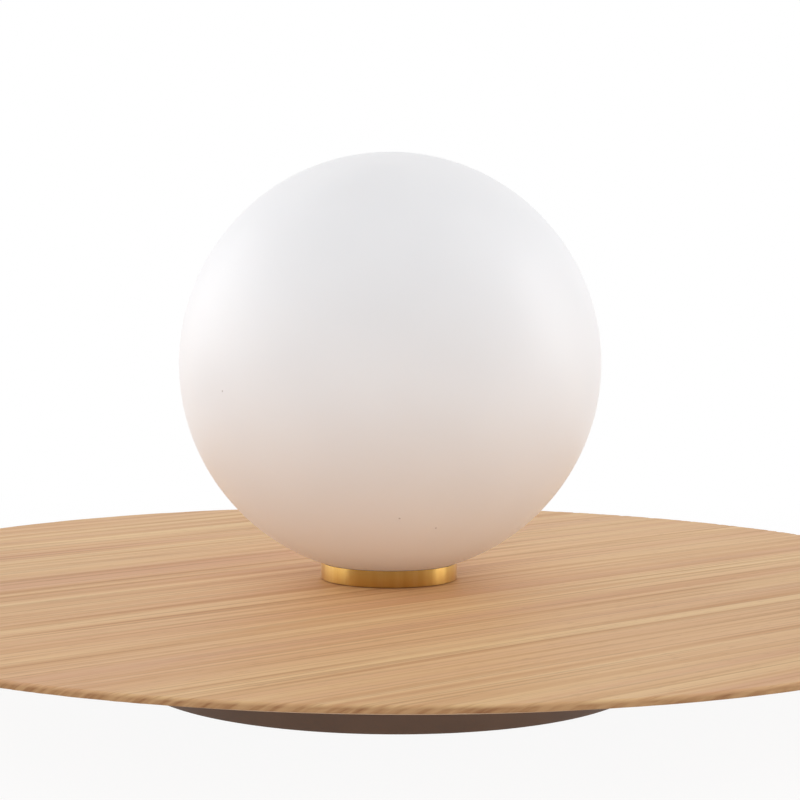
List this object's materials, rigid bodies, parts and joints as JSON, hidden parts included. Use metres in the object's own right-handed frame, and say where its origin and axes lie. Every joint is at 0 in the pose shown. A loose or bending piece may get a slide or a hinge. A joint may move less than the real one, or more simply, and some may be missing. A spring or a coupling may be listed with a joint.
{
  "type": "wall lamp",
  "caption": "Flush wall lamp: opal glass globe in a short brass collar, on a wide thin round wood disc over a shallow round canopy.",
  "frame": {"origin": "centre of the canopy's back rim, on the wall plane", "axes": "+Z along the lamp's axis, away from the wall; the wall bracket's strap runs along X"},
  "size_m": [0.42, 0.42, 0.1881],
  "materials": {
    "opal_glass": "satin opal",
    "brushed_brass": "satin brushed",
    "oak_veneer": "matt lacquer",
    "taupe_powder_coat": "fine satin powder coat",
    "zinc_plated_steel": "bright zinc plate",
    "taupe_steel": "painted to match the canopy",
    "steatite": "unglazed, smooth",
    "contact_brass": "plain",
    "white_plastic": "moulded",
    "light_board": "white board",
    "frosted_cover": "frosted",
    "silicone": "soft, matt",
    "brown_sleeve": "insulation",
    "blue_sleeve": "insulation",
    "green_sleeve": "insulation"
  },
  "bodies": {
    "lamp": {"globe_cup": "brushed_brass", "wood_disc": "oak_veneer", "canopy": "taupe_powder_coat", "wall_bracket": "zinc_plated_steel", "canopy_washer": "zinc_plated_steel", "canopy_nut": "zinc_plated_steel", "cup_nut": "zinc_plated_steel", "threaded_nipple": "zinc_plated_steel", "holder_bracket": "zinc_plated_steel", "holder_screw_left": "zinc_plated_steel", "holder_screw_right": "zinc_plated_steel", "block_screw": "zinc_plated_steel", "disc_screw_1": "zinc_plated_steel", "disc_screw_2": "zinc_plated_steel", "disc_screw_3": "zinc_plated_steel", "earth_screw": "zinc_plated_steel", "lampholder": "steatite", "holder_contact_left": "contact_brass", "holder_contact_right": "contact_brass", "earth_tag": "contact_brass", "terminal_screw_1": "contact_brass", "terminal_screw_2": "contact_brass", "terminal_screw_3": "contact_brass", "terminal_screw_4": "contact_brass", "terminal_screw_5": "contact_brass", "terminal_screw_6": "contact_brass", "terminal_block": "white_plastic", "lead_line": "brown_sleeve", "lead_neutral": "blue_sleeve", "lead_earth": "green_sleeve"},
    "bulb": {"bulb_base": "white_plastic", "bulb_board": "light_board", "bulb_cover": "frosted_cover", "bulb_pin_left": "zinc_plated_steel", "bulb_pin_right": "zinc_plated_steel"},
    "seal_ring": {"globe_seal_ring": "silicone"},
    "globe": {"globe": "opal_glass"},
    "left_washer": {"lock_washer_left": "taupe_steel"},
    "left_lock_screw": {"lock_screw_left": "taupe_steel"},
    "right_washer": {"lock_washer_right": "taupe_steel"},
    "right_lock_screw": {"lock_screw_right": "taupe_steel"}
  },
  "joints": [
    {"name": "globe_rise", "type": "slide", "parent": "lamp", "child": "seal_ring", "axis": [0, 0, 1], "range_m": [0, 0.0101]},
    {"name": "globe_turn", "type": "hinge", "parent": "seal_ring", "child": "globe", "pos_m": [0, 0, 0.1131], "axis": [0, 0, 1], "range_deg": [0, 900]},
    {"name": "bulb_pull", "type": "slide", "parent": "lamp", "child": "bulb", "axis": [0, 0, 1], "range_m": [0, 0.014]},
    {"name": "left_screw_out", "type": "slide", "parent": "lamp", "child": "left_washer", "axis": [-1, 0, 0], "range_m": [0, 0.0042]},
    {"name": "left_screw_turn", "type": "hinge", "parent": "left_washer", "child": "left_lock_screw", "pos_m": [-0.0914, 0, 0.009], "axis": [-1, 0, 0], "range_deg": [0, 2170]},
    {"name": "right_screw_out", "type": "slide", "parent": "lamp", "child": "right_washer", "axis": [1, 0, 0], "range_m": [0, 0.0042]},
    {"name": "right_screw_turn", "type": "hinge", "parent": "right_washer", "child": "right_lock_screw", "pos_m": [0.0914, 0, 0.009], "axis": [1, 0, 0], "range_deg": [0, 2170]}
  ],
  "couplings": [
    {"joint": "globe_rise", "follows": "globe_turn", "m_per_rad": 0.00063662},
    {"joint": "left_screw_turn", "follows": "left_screw_out", "rad_per_m": 8976},
    {"joint": "right_screw_turn", "follows": "right_screw_out", "rad_per_m": 8976}
  ]
}
